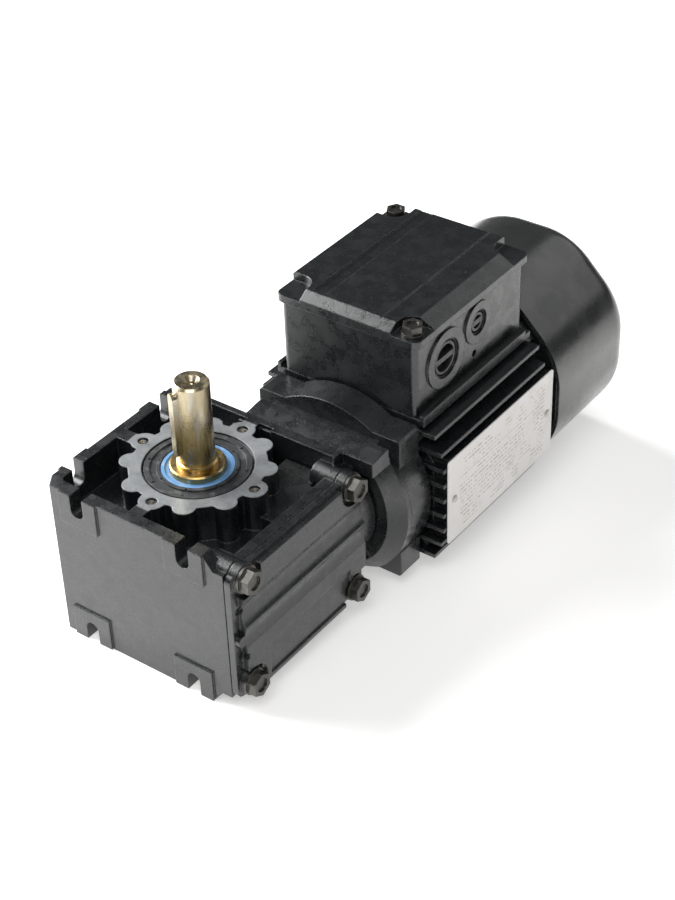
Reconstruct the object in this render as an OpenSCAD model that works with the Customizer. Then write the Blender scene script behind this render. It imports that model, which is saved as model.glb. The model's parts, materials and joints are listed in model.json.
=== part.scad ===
// Right-angle worm gearmotor: a square gear housing with an upright output shaft, a motor on
// its far side, a terminal box on the motor and a cowl over the fan.
// Origin: the output shaft's axis on the machined output flange.
// +Z runs out along the output shaft, +Y along the motor, +X to the bolted side cover.

/* [Output shaft] */
// Diameter of the free shaft end
shaft_d = 16; // [15:1:17]
// Length of the free shaft end above its collar
shaft_len = 40; // [36:1:44]
// Width and height of the feather key
key_w = 5; // [4:1:5]
// Length of the feather key
key_len = 32; // [28:1:34]
// Direction in which the key points, seen from above
key_angle = 244; // [0:1:359]
// Diameter of the shaft in its bearings and seal
journal_d = 25; // [25:1:25]

/* [Gear housing] */
// Height of the gear housing from base to flange
housing_h = 80; // [80:1:82]
// Thickness of the housing's outer walls
wall_t = 5; // [4.5:0.5:6]
// Depth of the open wells above and below the gear chamber
well_depth = 18; // [17:1:19]
// Width of the mounting slots
slot_w = 7; // [6.5:0.5:7.5]
// Distance between the two slots in one wall
slot_pitch = 58; // [56:1:60]
// Distance from the middle of a slot's round end to the housing's top or base
slot_depth = 7; // [6:0.5:8]

/* [Output flange] */
// Pitch circle diameter of the four tapped flange holes
flange_pcd = 62; // [61:1:63]
// Core diameter of the tapped flange holes
flange_hole_d = 5; // [5:0.1:5.2]
// Core diameter of the tapped holes in the base
base_hole_d = 4.2; // [4.1:0.1:4.3]
// Outer diameter of the shaft seal and of the bearing under it
seal_d = 47; // [47:1:47]

/* [Worm gear] */
// Axial module of the worm and the wheel
gear_module = 1.5; // [1.5:0.1:1.5]
// Number of teeth on the worm wheel
wheel_teeth = 22; // [22:1:22]
// Distance between the shaft axis and the motor axis, seen from above
centre_distance = 23; // [23:1:23]
// Clearance between worm and wheel flanks
backlash = 0.2; // [0.15:0.05:0.3]

/* [Motor] */
// Distance across the flats of the eight-sided fan cowl
cowl_flats = 108; // [108:1:110]
// Distance from the shaft axis to the back of the cowl
cowl_end = 243; // [240:1:246]
// Diameter of the motor's mounting flange
shield_d = 90; // [89:1:91]
// Width of the square lugs' envelope on the mounting flange
shield_w = 77.6; // [77:0.1:78]

/* [Terminal box] */
// Width of the lid across the motor
lid_w = 77; // [76:1:78]
// Length of the lid along the motor
lid_len = 92.4; // [92:0.1:93]
// Height of the lid's top above the flange face
lid_top = 45; // [44:1:46]

/* [Hidden] */
$fn = 64;

// Fine slack that keeps turning parts clear of fixed ones
running_gap = 0.05;
// How far cutting shapes pass through a face
through = 1;

// Places of the main axes and planes
mid_z = -housing_h / 2;
base_z = -housing_h;
well_floor = -well_depth;
motor_x = centre_distance;
motor_z = mid_z;

// Gear housing outline
left_x = -47.5;
right_x = 50.5;
front_y = -47;
back_y = 42;
front_wall_t = wall_t + 1;
back_wall_t = wall_t - 1.8;
pad_proud = 1;
rim_x = 45.5;
rim_drop = 6.5;
pad_x = 38;
corner_cut = 4;
front_slot_x = 1.2;
side_slot_y = -1;

// Side cover
gasket_t = 0.6;
cover_x = right_x + gasket_t;
cover_plate_t = 3;
cover_max_x = 57.5;
cover_top = -rim_drop;
cover_bottom = base_z + rim_drop + 0.5;
cover_back = 42.8;
bolt_ys = [-39, 34.7];
bolt_zs = [-10.5, -66.8];
bolt_d = 6;
bolt_boss_r = 6.6;
bolt_seat_x = 55.4;
bolt_len = 16;

// Output shaft stack, from the flange downwards
collar_top = 1.8;
step_top = 4;
shaft_top = step_top + shaft_len;
bearing_b = 12;
seal_b = 7;
bearing_top = -seal_b;
bearing_bottom = bearing_top - bearing_b;
lower_bearing_top = base_z - bearing_bottom;
lower_bearing_bottom = lower_bearing_top - bearing_b;
bearing_lip_d = 38;
chamber_top = -23;
chamber_bottom = base_z - chamber_top;
shoulder_d = 30;
wheel_b = 10;
hub_b = 14;
wheel_seat_d = 26;
wheel_key_w = 5;
wheel_key_base = 10;
wheel_key_h = 3.8;
key_proud = 2;
key_bottom = step_top + (shaft_len - key_len) / 2;
end_hole_d = 4.2;
end_hole_depth = 12;
end_cone_d = 7.6;

// Worm gear geometry
gear_pitch = PI * gear_module;
wheel_r = gear_module * wheel_teeth / 2;
worm_r = centre_distance - wheel_r;
addendum = 1.3;
dedendum = 1.8;
flank_slope = tan(20);
lead_angle = atan(gear_pitch / (2 * PI * worm_r));
tooth_half = gear_pitch / 4 - backlash / 2;
worm_half_len = 14;
worm_shank_d = 12;
stub_d = 9;

// Motor shaft stack along Y
neck_front = 48;
neck_ridge_x = [-8, 61.5];
neck_ridge_y = [52, 55];
disc_y = [54, 63];
shield_y = [63, 78];
stator_y = [78, 175];
drive_bearing = [15, 35, 11];
rear_bearing = [12, 32, 10];
drive_bearing_y = 65;
rear_bearing_y = 161;
input_seal_y = 49;
input_seal_d = 28;
core_y = [96, 152];
winding_len = 11;
rotor_d = 50;
air_gap = 0.4;
stator_core_d = 76;
stator_flats = 88;
spigot_d = 79;
tie_rod_r = 45.6;
fin_half_w = 51.4;
fin_corner_r = 36;
fin_pitch = 8.4;
fin_t = 2;
cowl_y = stator_y[1];
cowl_t = 1.5;
cowl_round = 2.8;
cowl_edge = 12;
fan_y = 184;
fan_b = 24;
fan_d = 88;
shaft_end_y = fan_y + fan_b + 2;

// Terminal box outline
box_x = [-14, 59];
box_y = [79.5, 168.2];
box_floor = 0;
lid_edge = 7.7;
box_wall = 3;
seat_x = [-17.6, 63.6];
seat_lip_h = 2.3;
box_top = lid_top - lid_edge;
lid_x = [-15.7, -15.7 + lid_w];
lid_y = [77.6, 77.6 + lid_len];
lid_screw_inset = 7;
lid_recess_in = 6.5;
lid_recess_r = 7.6;
lid_recess_h = 4.2;
large_plug = [103, 19.5, 14.5, 9.7];
small_plug = [129, 24.5, 10.5, 6.3];
plate_y = [81.5, 171.5];
plate_z = [-65.5, -19];
plate_x = 75;

// Paint and metal colours
paint = "#1b1c1e";
steel = "#b9b7b0";
dark_steel = "#2c2d2e";
bronze = "#b58a45";

// ---------- Shared shapes ----------

// Runs children, drawn in the X-Z plane, along Y from start over the given length
module along_y(start, length) {
    translate([0, start + length, 0]) rotate([90, 0, 0]) linear_extrude(length) children();
}

// Runs children, drawn in the Y-Z plane, along X from start over the given length
module along_x(start, length) {
    translate([start, 0, 0]) rotate([90, 0, 90]) linear_extrude(length) children();
}

// Puts children, drawn about their own +Z, on the motor axis with that axis along +Y
module on_motor_axis(start) {
    translate([motor_x, start, motor_z]) rotate([-90, 0, 0]) children();
}

// Rectangle from two corner values per side, with rounded corners
module rounded_rect(xs, ys, r) {
    translate([xs[0] + r, ys[0]]) square([xs[1] - xs[0] - 2 * r, ys[1] - ys[0]]);
    translate([xs[0], ys[0] + r]) square([xs[1] - xs[0], ys[1] - ys[0] - 2 * r]);
    for (x = [xs[0] + r, xs[1] - r], y = [ys[0] + r, ys[1] - r]) translate([x, y]) circle(r);
}

// Regular octagon by its distance across flats, with a flat on top
module octagon(flats) {
    rotate(22.5) circle(d = flats / cos(22.5), $fn = 8);
}

// Octagon with rounded corners
module rounded_octagon(flats, r) {
    corner = (flats / 2 - r) / cos(22.5);
    side = 2 * (flats / 2 - r) * tan(22.5);
    octagon(flats - 2 * r);
    for (a = [0:45:315]) {
        rotate(a) translate([0, -side / 2]) square([flats / 2, side]);
        rotate(a + 22.5) translate([corner, 0]) circle(r);
    }
}

// Round bar along +Z with a small chamfer at both ends
module chamfered_bar(d, length, chamfer = 0.5) {
    translate([0, 0, chamfer]) cylinder(d = d, h = length - 2 * chamfer);
    cylinder(d1 = d - 2 * chamfer, d2 = d, h = chamfer);
    translate([0, 0, length - chamfer]) cylinder(d1 = d, d2 = d - 2 * chamfer, h = chamfer);
}

// Plain ring along +Z
module ring(outer_d, inner_d, height) {
    difference() {
        cylinder(d = outer_d, h = height);
        translate([0, 0, -through]) cylinder(d = inner_d, h = height + 2 * through);
    }
}

// Hexagon flange bolt: seat at z = 0, head upwards and shank downwards
module hex_bolt(d, shank) {
    flange_h = 0.25 * d;
    head_h = 0.95 * d;
    difference() {
        union() {
            cylinder(d = 2.1 * d, h = flange_h);
            cylinder(d = 1.67 * d / cos(30), h = head_h, $fn = 6);
        }
        translate([0, 0, head_h - 0.15 * d]) cylinder(d = 1.1 * d, h = d);
    }
    translate([0, 0, -shank]) cylinder(d = d, h = shank);
}

// Outer ring of a ball bearing from [bore, outer diameter, width]
module bearing_outer(size) {
    ball_d = 0.3 * (size[1] - size[0]);
    race_r = (size[0] + size[1]) / 4;
    difference() {
        ring(size[1], 2 * race_r + 0.62 * ball_d, size[2]);
        translate([0, 0, size[2] / 2]) rotate_extrude()
            translate([race_r, 0]) circle(ball_d / 2 + running_gap);
    }
}

// Inner ring, balls and cage of the same bearing, which turn with the shaft
module bearing_inner(size) {
    ball_d = 0.3 * (size[1] - size[0]);
    race_r = (size[0] + size[1]) / 4;
    balls = floor(2 * PI * race_r / (1.5 * ball_d));
    difference() {
        ring(2 * race_r - 0.62 * ball_d, size[0], size[2]);
        translate([0, 0, size[2] / 2]) rotate_extrude()
            translate([race_r, 0]) circle(ball_d / 2 + running_gap);
    }
    for (i = [0:balls - 1]) rotate(i * 360 / balls)
        translate([race_r, 0, size[2] / 2]) sphere(d = ball_d, $fn = 32);
}

// ---------- Gear housing ----------

// Distance from the centre to the far side of a round lobe, at an angle off its own direction
function lobe_reach(out, r, off) =
    abs(off) < asin(r / out) ? out * cos(off) + sqrt(r * r - pow(out * sin(off), 2)) : 0;

// Radius of the scalloped flange at an angle, the lobes blended by a smooth maximum
function flange_radius(angle) =
    let (blend = 0.7,
        off = (angle + 45) % 90 - 45,
        hole_lobe = lobe_reach(flange_pcd / 2 - 0.6, 6.1, off),
        side_lobe = lobe_reach(29.7, 5.2, 28 - abs(off)))
    blend * ln(exp(30.2 / blend) + exp(hole_lobe / blend) + exp(side_lobe / blend));

// Scalloped outline of the output flange: four hole lobes and eight plain ones
module flange_outline() {
    step = 2;
    polygon([for (a = [0:step:360 - step]) flange_radius(a) * [cos(a), sin(a)]]);
}

// Outline of the whole housing seen from above, with the two left corners cut off
module housing_outline() {
    polygon([[left_x + corner_cut, front_y], [right_x, front_y], [right_x, back_y],
        [left_x + corner_cut, back_y], [left_x, back_y - corner_cut],
        [left_x, front_y + corner_cut + 2]]);
}

// Inside outline of the wells
module well_outline() {
    rounded_rect([left_x + wall_t, rim_x], [front_y + front_wall_t, back_y - back_wall_t], 3);
}

// Everything above the gear chamber; mirrored, it is also everything below
module well_solid() {
    web = 7;
    floor_step = 7;
    raised_x = 20;
    seat_y = 36.8;
    translate([0, 0, well_floor]) {
        // Outer walls
        linear_extrude(well_depth) difference() {
            housing_outline();
            well_outline();
        }
        // Flange boss
        linear_extrude(well_depth) flange_outline();
        // Webs from the boss to the left, front and back walls
        translate([left_x + 1, -web / 2 - 1, 0]) cube([15, web, well_depth]);
        translate([-web / 2, front_y + 1, 0]) cube([web, 14, well_depth]);
        translate([-web / 2, back_y - 14, 0]) cube([web, 13, well_depth]);
        // Raised floor between the boss and the cover
        translate([raised_x, -3, 0]) cube([rim_x - raised_x + 1, back_y - 3, floor_step]);
        // Thicker back wall under the neck
        translate([11, seat_y, 0]) cube([rim_x - 10, back_y - seat_y, well_depth]);
        // Corner pad beside the cover
        translate([pad_x, front_y + 1, 0])
            cube([rim_x - pad_x + 1, 13, well_depth - rim_drop]);
    }
}

// Round bosses in the right wall that take the cover's bolts
module cover_bolt_bosses() {
    for (y = bolt_ys, z = bolt_zs)
        translate([pad_x, y, z]) rotate([0, 90, 0]) cylinder(r = bolt_boss_r, h = right_x - pad_x);
}

// Cuts the rim beside the cover down and slopes the front wall into it
module rim_cut() {
    slope_x = 40.4;
    along_y(front_y - through, back_y - front_y - 5) polygon([[slope_x, 1], [slope_x, 0],
        [rim_x, -rim_drop], [right_x + 1, -rim_drop], [right_x + 1, 1]]);
    translate([rim_x + 0.5, front_y, -rim_drop]) cube([6, back_y - front_y + 1, rim_drop + 1]);
}

// Mounting slots of one well: two in the front wall and two in the left wall
module slot_cuts() {
    for (side = [-0.5, 0.5]) {
        along_y(front_y - 3, front_wall_t + 5) {
            translate([front_slot_x + side * slot_pitch, -slot_depth]) circle(d = slot_w);
            translate([front_slot_x + side * slot_pitch - slot_w / 2, -slot_depth])
                square([slot_w, slot_depth + 1]);
        }
        along_x(left_x - 2, wall_t + 4) {
            translate([side_slot_y + side * slot_pitch, -slot_depth]) circle(d = slot_w);
            translate([side_slot_y + side * slot_pitch - slot_w / 2, -slot_depth])
                square([slot_w, slot_depth + 1]);
        }
    }
}

// Pads around the slots on the outside of the front and left walls
module slot_pads() {
    pad_w = 21;
    pad_h = 16;
    for (side = [-0.5, 0.5]) {
        translate([front_slot_x + side * slot_pitch - pad_w / 2, front_y - pad_proud, -pad_h])
            cube([pad_w, pad_proud + 1, pad_h]);
    }
    translate([left_x - pad_proud, side_slot_y - slot_pitch / 2 - 6, -pad_h])
        cube([pad_proud + 1, 18, pad_h]);
    translate([left_x - pad_proud, side_slot_y + slot_pitch / 2 - 11, -pad_h])
        cube([pad_proud + 1, 18, pad_h]);
}

// Copies children to the top well and, mirrored, to the base well
module both_wells() {
    children();
    translate([0, 0, base_z]) mirror([0, 0, 1]) children();
}

// Neck and round flange that carry the motor
module housing_neck() {
    neck_d = 64;
    disc_edge = 6;
    wall_y = back_y - 4;
    on_motor_axis(back_y - 3) cylinder(d = neck_d, h = neck_front - back_y + 8);
    on_motor_axis(disc_y[0]) cylinder(r1 = 38, r2 = shield_d / 2, h = disc_edge);
    on_motor_axis(disc_y[0] + disc_edge)
        cylinder(d = shield_d, h = disc_y[1] - disc_y[0] - disc_edge);
    // Saddle from the housing's top up to the ridge
    along_x(neck_ridge_x[0], neck_ridge_x[1] - neck_ridge_x[0])
        polygon([[wall_y, -2.2], [neck_ridge_y[0], -0.6], [neck_ridge_y[1], -0.6],
            [neck_ridge_y[1] + 1, -9], [wall_y, -9]]);
    // Block under the saddle
    translate([-12, wall_y, -60]) cube([58, 17, 54]);
}

module gear_housing() color(paint) difference() {
    union() {
        difference() {
            union() {
                both_wells() well_solid();
                translate([0, 0, base_z - well_floor])
                    linear_extrude(housing_h + 2 * well_floor) housing_outline();
                both_wells() slot_pads();
                intersection() {
                    housing_neck();
                    translate([-30, back_y - 5, base_z + 0.6]) cube([120, 40, housing_h - 1.2]);
                }
            }
            both_wells() rim_cut();
        }
        cover_bolt_bosses();
    }
    // Room for the cover in front of the neck
    translate([right_x, back_y - 10, base_z]) cube([20, cover_back + 0.2 - back_y + 10, housing_h]);
    both_wells() slot_cuts();
    // Valleys behind the ridge and below the disc
    for (z = [-5, base_z - 15])
        translate([-40, neck_ridge_y[1], z]) cube([130, disc_y[1] + 1 - neck_ridge_y[1], 20]);
    // Gear chamber, open towards the cover
    translate([-28, -30, chamber_bottom])
        cube([right_x + 28 + 1, 62, chamber_top - chamber_bottom]);
    along_x(rim_x - 4, right_x - rim_x + 5) rounded_rect([-32, 28], [-60, -20], 6);
    // Seal, bearing and passage bores about the output axis
    translate([0, 0, bearing_bottom]) cylinder(d = seal_d, h = -bearing_bottom + 1);
    translate([0, 0, base_z - 1]) cylinder(d = seal_d, h = lower_bearing_top - base_z + 1);
    translate([0, 0, lower_bearing_top - 1])
        cylinder(d = bearing_lip_d, h = bearing_bottom - lower_bearing_top + 2);
    translate([0, 0, -1.2]) cylinder(d = seal_d + 2, h = 2);
    // Worm passage and seal seat about the motor axis
    on_motor_axis(20) cylinder(d = 19, h = 50);
    on_motor_axis(input_seal_y) cylinder(d = input_seal_d, h = 20);
    on_motor_axis(disc_y[1] - 3) cylinder(d = 60, h = 4);
    // Tapped holes in the flange and in the base
    for (a = [0:90:270]) rotate(a) translate([flange_pcd / 2, 0, 0]) {
        translate([0, 0, -14]) cylinder(d = flange_hole_d, h = 15);
        translate([0, 0, base_z - 1]) cylinder(d = base_hole_d, h = 13);
    }
    // Threads for the cover bolts and the motor flange screws
    for (y = bolt_ys, z = bolt_zs) translate([bolt_seat_x - bolt_len - 1, y, z])
        rotate([0, 90, 0]) cylinder(d = bolt_d + 0.1, h = bolt_len);
    flange_screw_places() translate([0, 0, -20]) cylinder(d = 5, h = 40);
    // Small pocket in the raised floor
    translate([40, 26, well_floor + 3]) cube([5, 6, 5]);
}

// Puts children at the four screws between the housing's flange and the motor, axis along +Y
module flange_screw_places() {
    for (a = [45:90:315]) on_motor_axis(disc_y[1]) rotate(a) translate([35, 0, 0]) children();
}

// Outline of the side cover in the Y-Z plane, bulged around its bolts
module cover_outline(inset = 0) {
    rounded_rect([front_y + inset, cover_back - inset], [cover_bottom + inset, cover_top - inset], 4);
    for (y = bolt_ys, z = bolt_zs) translate([y, z]) circle(bolt_boss_r - inset);
}

module gear_cover() color(paint) difference() {
    panel_t = cover_max_x - cover_x;
    notch_r = 8.5;
    union() {
        along_x(cover_x, cover_plate_t) cover_outline();
        // Raised panel, left out around the bolts
        along_x(cover_x, panel_t) difference() {
            rounded_rect([front_y + 4.5, cover_back - 1], [cover_bottom + 1, cover_top - 1], 3);
            for (y = bolt_ys, z = bolt_zs) {
                translate([y, z]) circle(notch_r);
                translate([y < 0 ? y - 20 : y, z - notch_r]) square([20, 2 * notch_r]);
                translate([y - notch_r, z > mid_z ? z : z - 20]) square([2 * notch_r, 20]);
            }
        }
        // Bolt seats and two small ribs at the front edge
        for (y = bolt_ys, z = bolt_zs)
            along_x(cover_x, bolt_seat_x - cover_x) translate([y, z]) circle(bolt_boss_r);
        for (p = [[-44, -41], [-30.5, -62]]) along_x(cover_x, panel_t - 0.8) translate(p) circle(2.6);
    }
    // Two long hollows and a step across the panel
    for (groove = [[10.2, -27, 12.5], [11, -40, 12]])
        translate([cover_max_x + groove[0], front_y - 1, groove[1]])
            rotate([-90, 0, 0]) cylinder(r = groove[2], h = 100);
    translate([cover_max_x - 0.8, -28, -70]) cube([3, 58, 17]);
    // Notches in the panel's front edge
    for (z = [-26, -50]) along_x(cover_x + cover_plate_t - 0.6, panel_t)
        translate([front_y + 4, z]) circle(1.9);
    // Inside recess
    along_x(cover_x - through, 1.8 + through) rounded_rect([-32, 28], [-60, -20], 5);
    for (y = bolt_ys, z = bolt_zs)
        along_x(cover_x - 1, bolt_seat_x) translate([y, z]) circle(d = bolt_d + 0.6);
}

module cover_gasket() color("#3b3c3c") along_x(right_x, gasket_t) difference() {
    cover_outline(0.6);
    rounded_rect([-32, 28], [-60, -20], 6);
    for (y = bolt_ys, z = bolt_zs) translate([y, z]) circle(d = bolt_d + 0.6);
}

module cover_bolts() color(dark_steel)
    for (y = bolt_ys, z = bolt_zs) translate([bolt_seat_x, y, z]) rotate([0, 90, 0])
        hex_bolt(bolt_d, bolt_len);

// ---------- Seals, bearings and output shaft ----------

module output_seal() color("#222326") difference() {
    translate([0, 0, -seal_b]) cylinder(d = seal_d, h = seal_b - 0.3);
    translate([0, 0, -seal_b - 1]) cylinder(d = 33, h = seal_b + 2);
    translate([0, 0, -1.1]) ring(42, 36, 2);
    for (a = [22.5:45:359]) rotate(a) translate([17, -0.5, -0.9]) cube([5.5, 1, 2]);
}

module seal_lip() color("#3f7fb8") {
    translate([0, 0, -6]) ring(32.9, journal_d + 2 * running_gap, 4.8);
    translate([0, 0, -1.4]) ring(32, 29, 0.9);
}

module output_shaft() color(steel) difference() {
    rotate(36) union() {
        translate([0, 0, lower_bearing_bottom - 1])
            chamfered_bar(journal_d, collar_top - lower_bearing_bottom + 1, 0.6);
        translate([0, 0, lower_bearing_top])
            cylinder(d = shoulder_d, h = mid_z - hub_b / 2 - lower_bearing_top);
        translate([0, 0, mid_z - hub_b / 2]) cylinder(d = wheel_seat_d, h = hub_b);
        cylinder(d = shaft_d + 2.2, h = step_top - 0.6);
        translate([0, 0, step_top - 0.6]) cylinder(d1 = shaft_d + 2.2, d2 = shaft_d, h = 0.6);
        translate([0, 0, 1]) cylinder(d = shaft_d, h = shaft_top - 2);
        translate([0, 0, shaft_top - 1]) cylinder(d1 = shaft_d, d2 = shaft_d - 2, h = 1);
    }
    // Keyway with round ends
    rotate(key_angle) translate([shaft_d / 2 + key_proud - key_w, 0, key_bottom]) key_shape(key_w);
    // Keyway for the wheel
    wheel_keyway(wheel_key_base, 4);
    // Threaded centre hole
    translate([0, 0, shaft_top - end_hole_depth]) cylinder(d = end_hole_d, h = end_hole_depth + 1);
    translate([0, 0, shaft_top - 2.2]) cylinder(d1 = end_hole_d, d2 = end_cone_d, h = 2.21);
}

// Feather key lying along +Z, with its base on x = 0 and the given height along +X
module key_shape(height) {
    rotate([90, 0, 90]) linear_extrude(height) {
        translate([0, key_w / 2]) circle(d = key_w);
        translate([0, key_len - key_w / 2]) circle(d = key_w);
        translate([-key_w / 2, key_w / 2]) square([key_w, key_len - key_w]);
    }
}

module shaft_key() color(steel)
    rotate(key_angle) translate([shaft_d / 2 + key_proud - key_w, 0, key_bottom]) key_shape(key_w);

module spacer_sleeve() color(steel)
    translate([0, 0, mid_z + hub_b / 2])
        ring(shoulder_d + 2, journal_d, bearing_bottom - mid_z - hub_b / 2);

// Outline of the worm wheel's teeth
module wheel_outline() {
    tip = wheel_r + addendum;
    root = wheel_r - dedendum;
    half_at = function(r) (tooth_half + (wheel_r - r) * flank_slope) / r * 180 / PI;
    circle(root + 0.01);
    for (i = [0:wheel_teeth - 1]) rotate(i * 360 / wheel_teeth)
        polygon([for (p = [[root - 0.5, -1], [root, -1], [wheel_r, -1], [tip, -1],
                [tip, 1], [wheel_r, 1], [root, 1], [root - 0.5, 1]])
            p[0] * [cos(p[1] * half_at(p[0])), sin(p[1] * half_at(p[0]))]]);
}

module worm_wheel() color(bronze) difference() {
    union() {
        twist = wheel_b * tan(lead_angle) / wheel_r * 180 / PI;
        translate([0, 0, mid_z - wheel_b / 2]) rotate(-twist / 2)
            linear_extrude(wheel_b, twist = -twist, slices = 4) wheel_outline();
        translate([0, 0, mid_z - hub_b / 2]) cylinder(d = 29, h = hub_b);
    }
    translate([0, 0, mid_z - hub_b / 2 - 1]) cylinder(d = wheel_seat_d, h = hub_b + 2);
    wheel_keyway(wheel_key_base + 1, wheel_key_h - 0.9);
}

// Slot for the wheel's key, from a distance off the axis outwards
module wheel_keyway(start, depth) {
    rotate(90) translate([start, -wheel_key_w / 2, mid_z - hub_b / 2 - 1])
        cube([depth, wheel_key_w, hub_b + 2]);
}

module wheel_key() color(dark_steel)
    rotate(90) translate([wheel_key_base, -wheel_key_w / 2, mid_z - hub_b / 2 + 1])
        cube([wheel_key_h, wheel_key_w, hub_b - 2]);

module upper_bearing_outer() color(steel)
    translate([0, 0, bearing_bottom]) bearing_outer([journal_d, seal_d, bearing_b]);

module upper_bearing_inner() color(steel)
    translate([0, 0, bearing_bottom]) bearing_inner([journal_d, seal_d, bearing_b]);

module lower_bearing_outer() color(steel)
    translate([0, 0, lower_bearing_bottom]) bearing_outer([journal_d, seal_d, bearing_b]);

module lower_bearing_inner() color(steel)
    translate([0, 0, lower_bearing_bottom]) bearing_inner([journal_d, seal_d, bearing_b]);

module bearing_circlip() color(dark_steel)
    translate([0, 0, lower_bearing_bottom - 1.5]) ring(seal_d, seal_d - 8, 1.5);

module closing_cap() color("#242527") difference() {
    translate([0, 0, base_z + 0.3]) cylinder(d = seal_d, h = 5);
    translate([0, 0, base_z + 2]) cylinder(d = seal_d - 4, h = 5);
    translate([0, 0, base_z - 0.5]) cylinder(d = seal_d - 12, h = 1.4);
}

// ---------- Worm and motor shaft ----------

// Radius of the worm at a distance along its axis from the middle of the thread
function worm_radius(t) =
    let (tip_half = tooth_half - addendum * flank_slope,
        root_half = tooth_half + dedendum * flank_slope,
        a = abs(t))
    a <= tip_half ? worm_r + addendum
        : a >= root_half ? worm_r - dedendum
        : worm_r + addendum - (a - tip_half) / flank_slope;

// Section of the single-start worm across its axis
module worm_section() {
    steps = 24;
    polygon([for (i = [0:steps - 1])
        let (a = i * 360 / steps - 180, r = worm_radius(a / 360 * gear_pitch))
        r * [cos(a), sin(a)]]);
}

module worm() color(steel) {
    turns = 2 * worm_half_len / gear_pitch;
    on_motor_axis(-worm_half_len)
        linear_extrude(2 * worm_half_len, twist = -360 * turns, slices = ceil(turns * 18), $fn = 24)
            rotate(-180 * turns) worm_section();
    on_motor_axis(worm_half_len) cylinder(d1 = 9, d2 = worm_shank_d, h = 3);
    on_motor_axis(worm_half_len + 3) cylinder(d = worm_shank_d, h = 44 - worm_half_len - 3);
    on_motor_axis(44) cylinder(d = stub_d, h = 20);
    on_motor_axis(-worm_half_len - 1.5) cylinder(d1 = 7, d2 = 9, h = 1.5);
}

module input_seal() color("#222326") on_motor_axis(input_seal_y)
    ring(input_seal_d, drive_bearing[0] + 2 * running_gap, 7);

module flange_screws() color(dark_steel)
    flange_screw_places() {
        translate([0, 0, 9]) difference() {
            cylinder(d = 8.5, h = 5);
            translate([0, 0, 2.5]) cylinder(d = 4.6, h = 3, $fn = 6);
        }
        translate([0, 0, -8]) cylinder(d = 5, h = 17);
    }

module drive_end_shield() color(paint) difference() {
    depth = shield_y[1] - shield_y[0];
    union() {
        on_motor_axis(shield_y[0]) cylinder(d = shield_d, h = depth);
        // Top and base bars that end in square lugs
        both_bars() along_y(shield_y[0], depth) {
            half = shield_w / 2;
            polygon([[motor_x - half, -16], [motor_x - half, -3], [motor_x - half + 1, -2],
                [motor_x + half - 1, -2], [motor_x + half, -3], [motor_x + half, -16],
                [motor_x + half - 4, -18], [motor_x - half + 4, -18]]);
        }
        on_motor_axis(shield_y[1] - 1) cylinder(d = spigot_d, h = 5);
    }
    on_motor_axis(shield_y[0] - 1) cylinder(d = 18, h = 30);
    on_motor_axis(drive_bearing_y) cylinder(d = drive_bearing[1], h = 30);
    on_motor_axis(shield_y[1]) cylinder(d = spigot_d - 6, h = 10);
    flange_screw_places() {
        translate([0, 0, -1]) cylinder(d = 5.5, h = 30);
        translate([0, 0, 9]) cylinder(d = 9.5, h = 20);
    }
    tie_rod_places() translate([0, 0, shield_y[1] - 12]) cylinder(d = 5, h = 20);
}

// Copies children to the top bar and, mirrored, to the base bar
module both_bars() {
    children();
    translate([0, 0, 2 * motor_z]) mirror([0, 0, 1]) children();
}

// Puts children on the four tie rod axes, with +Z along +Y from y = 0
module tie_rod_places() {
    for (a = [45:90:315]) on_motor_axis(0) rotate(a) translate([tie_rod_r, 0, 0]) children();
}

// ---------- Motor ----------

// How far a cooling fin reaches from the motor axis, at a height above or below it
function fin_reach(dz) =
    let (flat = fin_half_w - fin_corner_r)
    abs(dz) <= flat ? fin_half_w : flat + sqrt(pow(fin_corner_r, 2) - pow(abs(dz) - flat, 2));

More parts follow.
